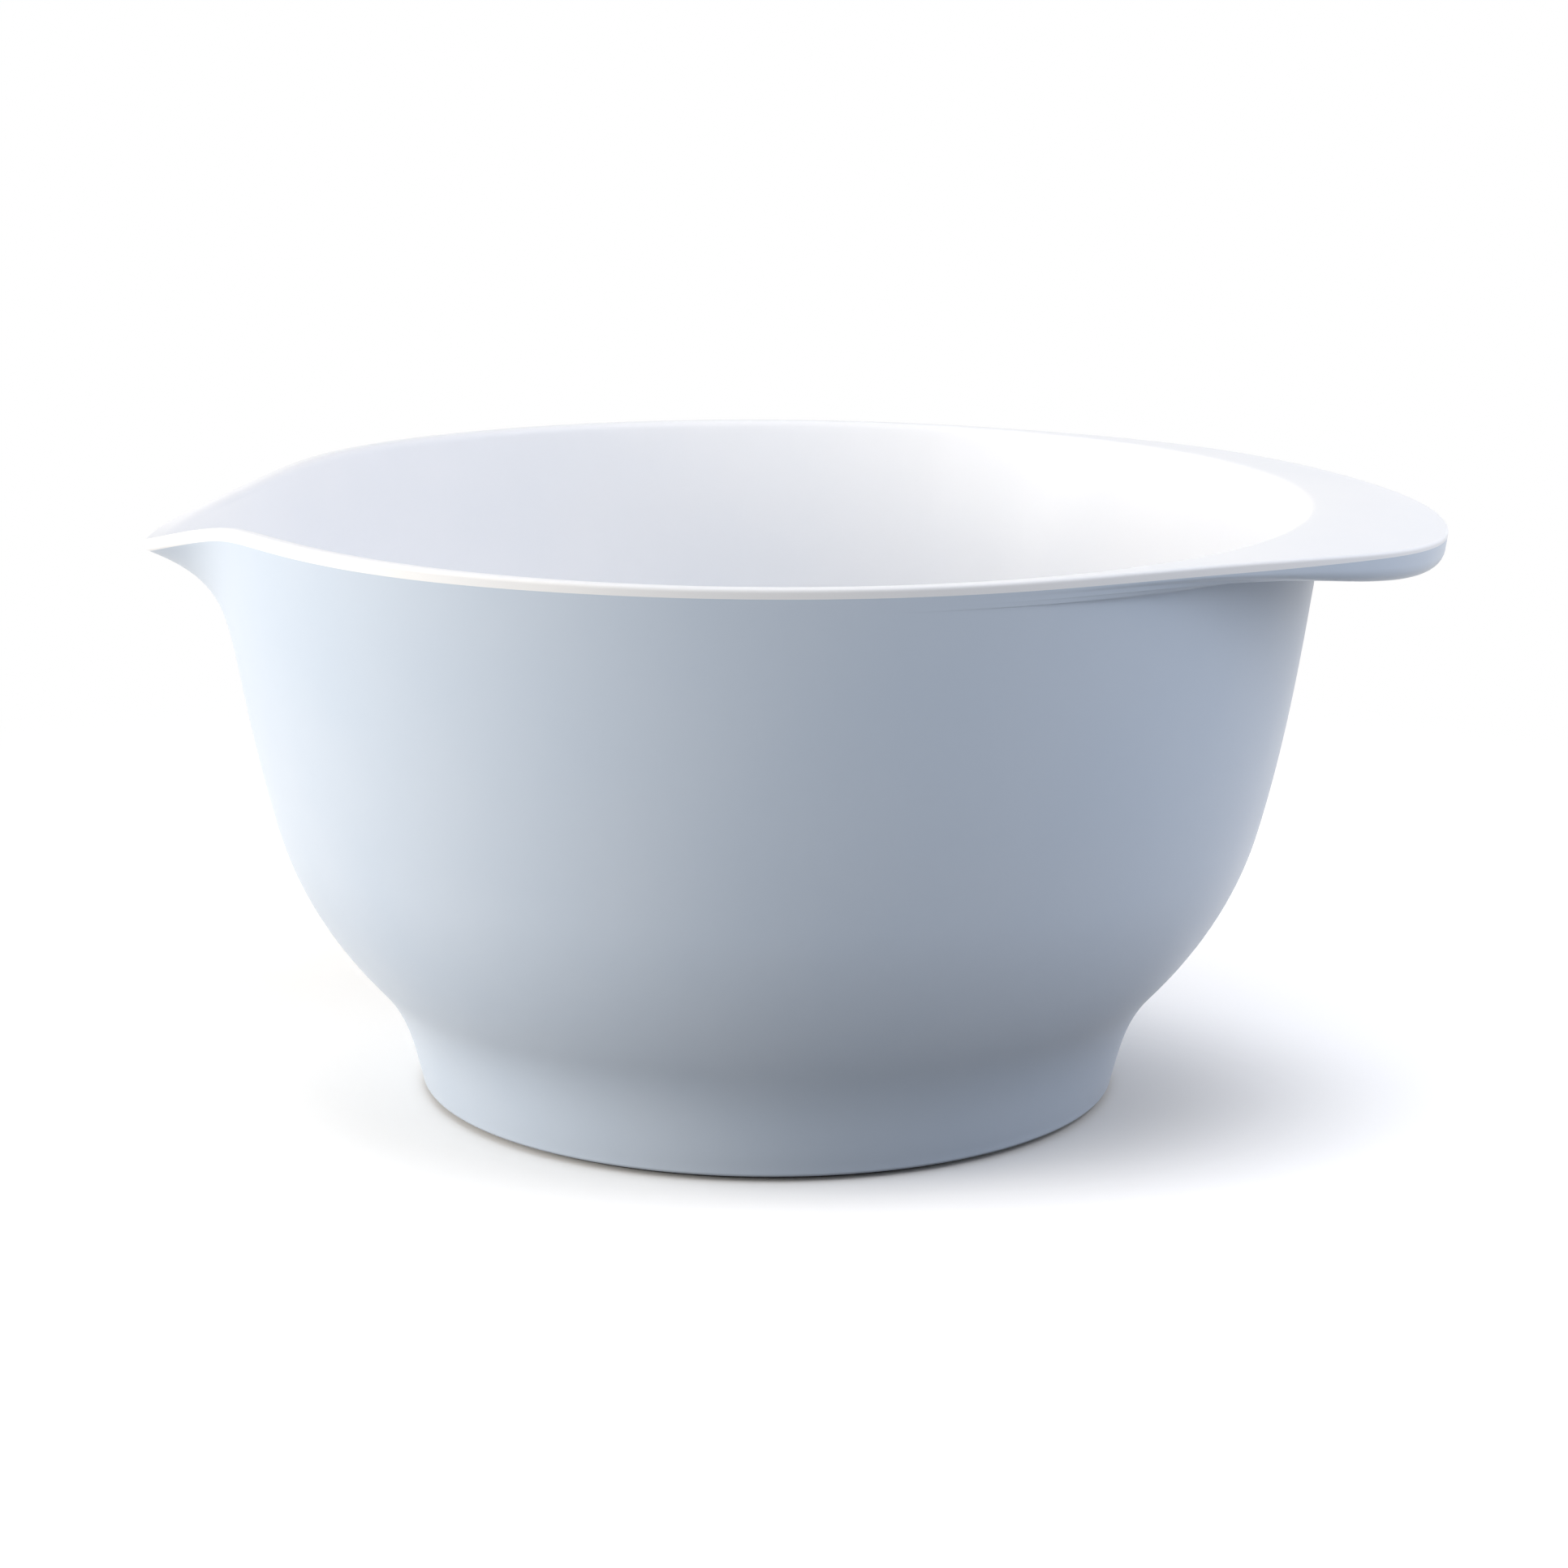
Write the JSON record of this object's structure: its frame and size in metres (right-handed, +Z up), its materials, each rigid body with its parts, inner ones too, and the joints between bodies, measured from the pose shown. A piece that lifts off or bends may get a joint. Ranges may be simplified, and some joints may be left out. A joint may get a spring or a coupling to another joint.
{
  "type": "mixing bowl",
  "caption": "Round two-tone mixing bowl of moulded melamine with a pouring spout, a flat grip lug opposite it and a non-slip ring under its foot.",
  "frame": {"origin": "middle of the circle on which the bowl stands, on the table", "axes": "+Z up, +X from the middle of the bowl towards the grip, -X towards the spout"},
  "size_m": [0.2866, 0.2436, 0.1337],
  "materials": {
    "pale_blue_melamine": "satin gloss",
    "white_melamine": "satin gloss",
    "ring_rubber": "matt"
  },
  "bodies": {
    "root": {"outer_shell": "pale_blue_melamine", "inner_shell": "white_melamine", "non_slip_ring": "ring_rubber"}
  },
  "joints": []
}
